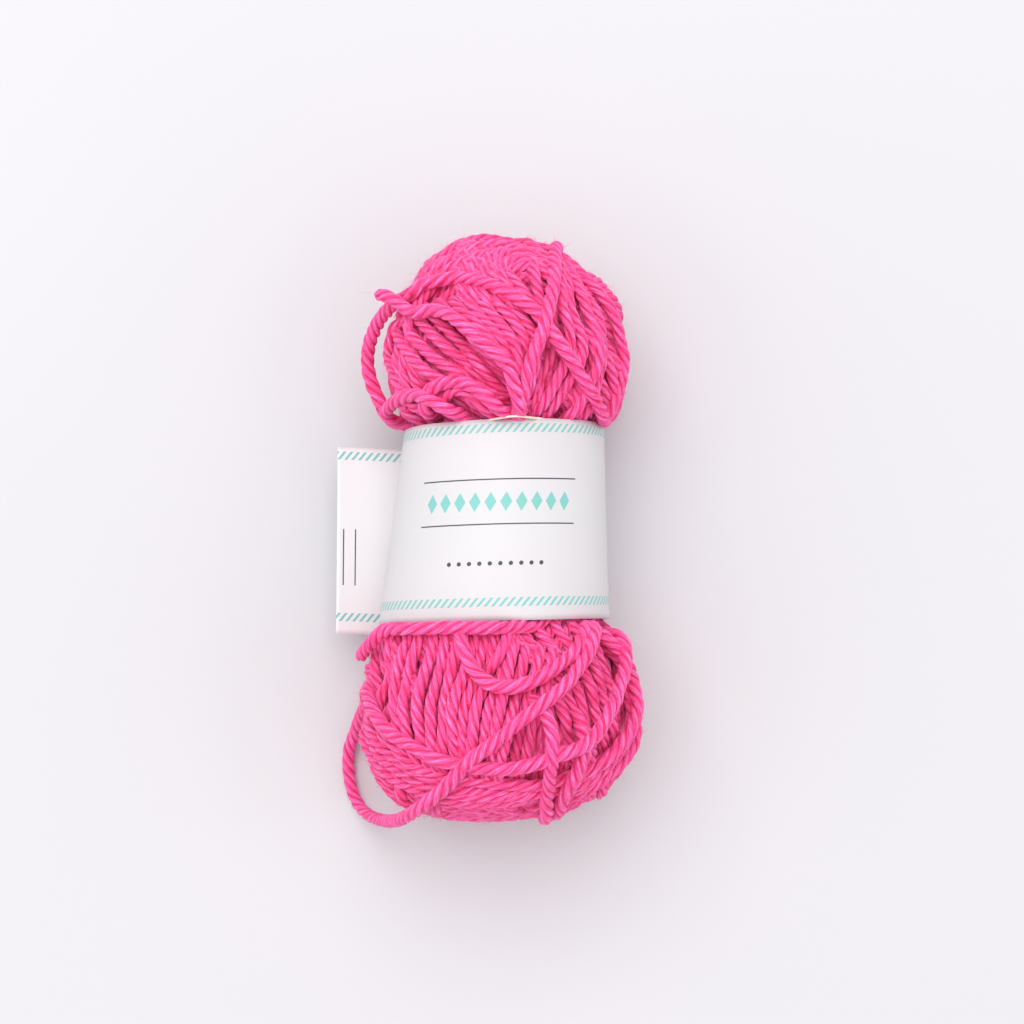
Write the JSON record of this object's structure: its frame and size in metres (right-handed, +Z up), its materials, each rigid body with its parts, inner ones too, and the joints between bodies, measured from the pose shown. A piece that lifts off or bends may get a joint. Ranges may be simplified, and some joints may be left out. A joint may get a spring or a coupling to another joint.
{
  "type": "ball of yarn with a paper band",
  "caption": "Ball of thick plied yarn in two lobes, held at its waist by a plain paper band, with loose loops and free ends of yarn, lying on its back.",
  "frame": {"origin": "on the surface that the ball lies on, below the middle of the box of the ball and its band", "axes": "+Y along the ball towards its small lobe, +Z up out of its face, +X to the right of the face"},
  "size_m": [0.0619, 0.1199, 0.0534],
  "materials": {
    "yarn": "soft plied yarn with a light fuzz",
    "paper": "smooth uncoated paper"
  },
  "bodies": {
    "root": {"ball": "yarn", "band": "paper", "loop_upper": "yarn", "loop_lower": "yarn", "end_upper": "yarn", "end_lower": "yarn"}
  },
  "joints": []
}
